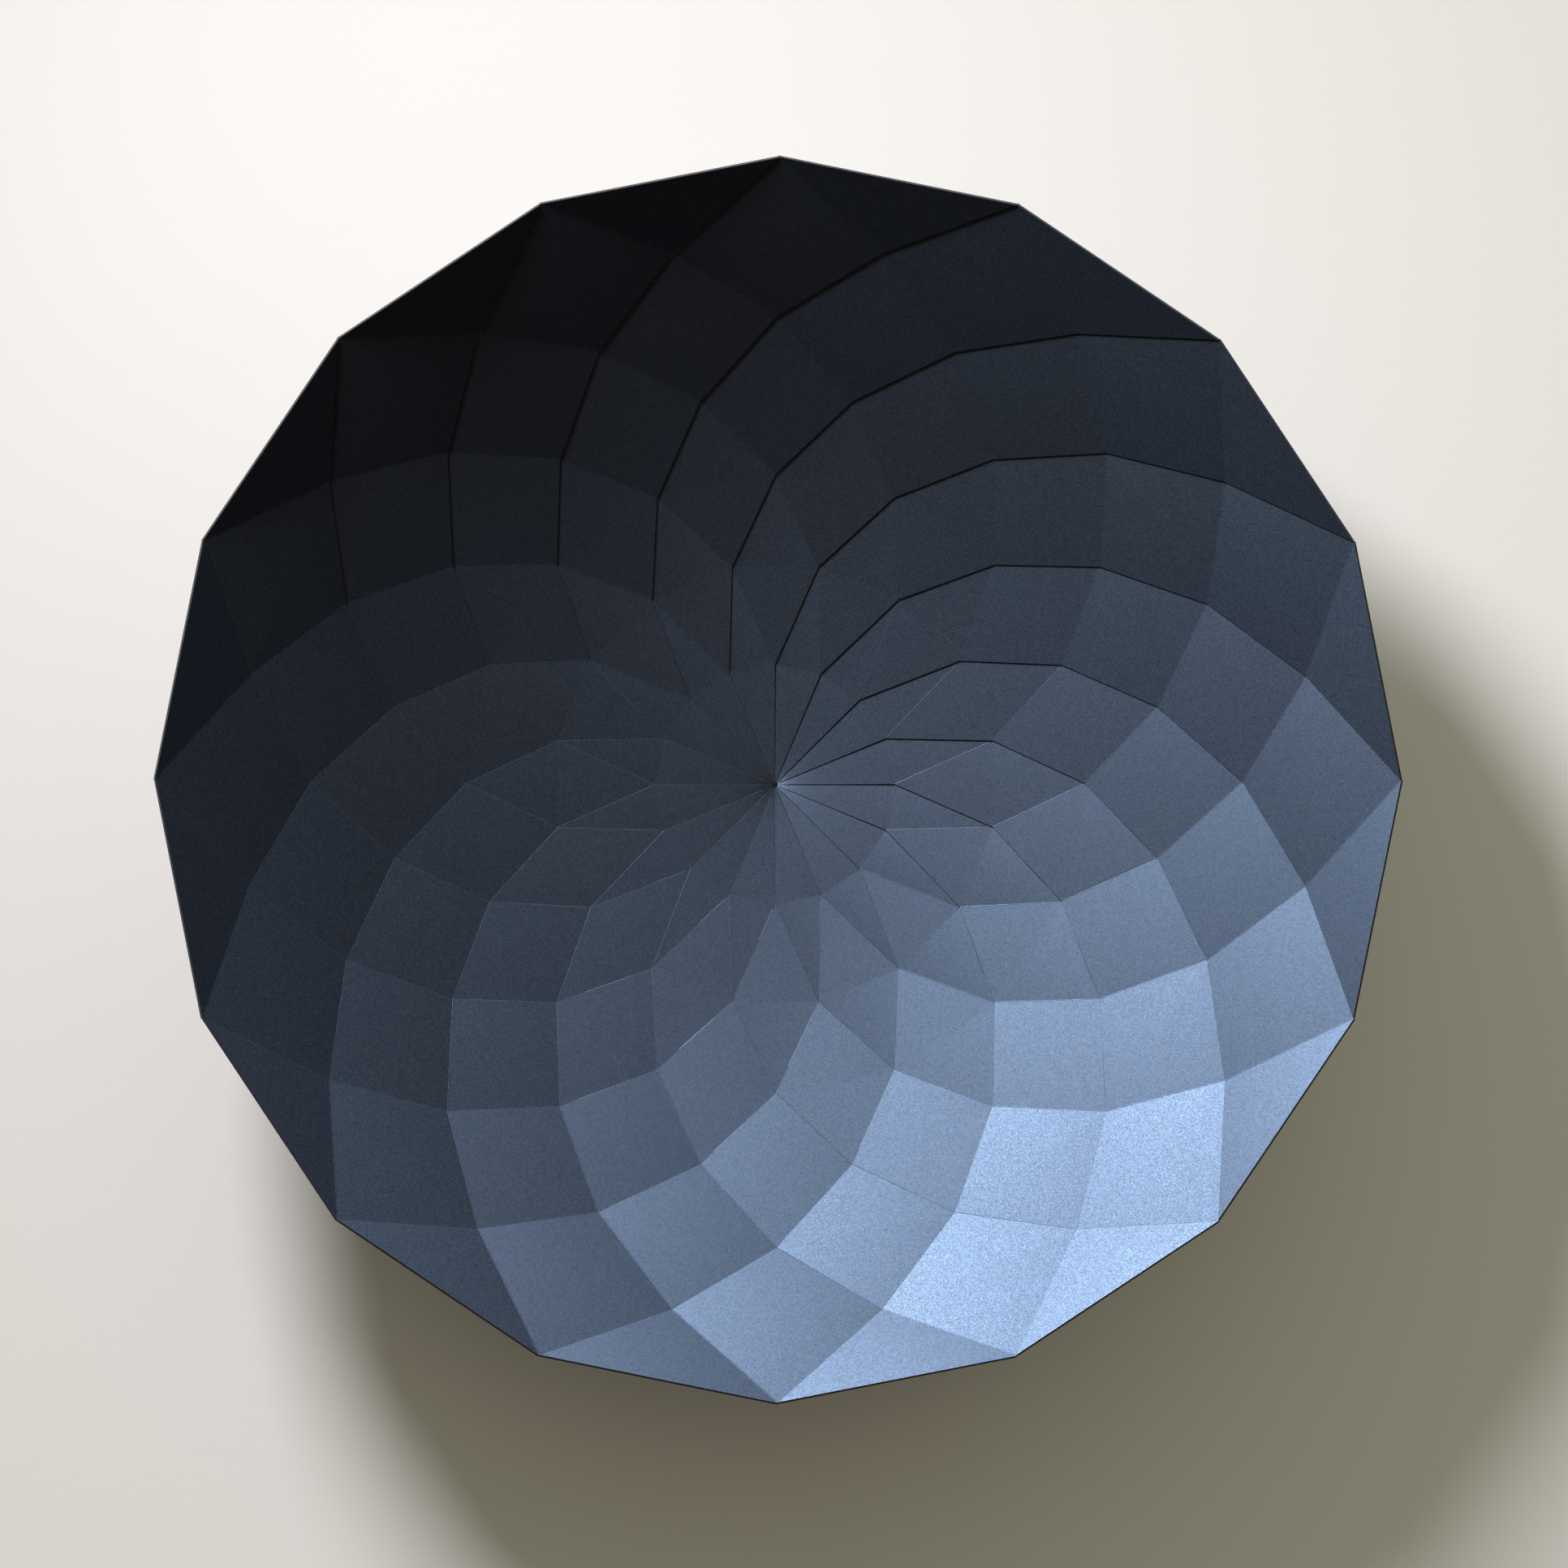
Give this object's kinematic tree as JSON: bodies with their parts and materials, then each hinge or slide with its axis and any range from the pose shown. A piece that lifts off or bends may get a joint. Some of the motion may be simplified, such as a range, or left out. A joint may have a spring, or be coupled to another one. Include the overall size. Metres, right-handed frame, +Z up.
{
  "type": "paper wall sculpture",
  "caption": "Shallow faceted dish of folded dark blue pearl card, its lapped strips winding from the middle of its back out to a polygonal rim, hung on a wall as decoration.",
  "frame": {"origin": "rearmost point of the dish, on its axis, where its back meets the wall", "axes": "+Z up, +Y along the dish's axis into the wall, +X to the right as seen from the open front"},
  "size_m": [0.3054, 0.0615, 0.3054],
  "materials": {
    "pearl_card": "pearl"
  },
  "bodies": {
    "root": {"strip_01": "pearl_card", "strip_02": "pearl_card", "strip_03": "pearl_card", "strip_04": "pearl_card", "strip_05": "pearl_card", "strip_06": "pearl_card", "strip_07": "pearl_card", "strip_08": "pearl_card", "strip_09": "pearl_card", "strip_10": "pearl_card", "strip_11": "pearl_card", "strip_12": "pearl_card", "strip_13": "pearl_card", "strip_14": "pearl_card", "strip_15": "pearl_card", "strip_16": "pearl_card"}
  },
  "joints": []
}
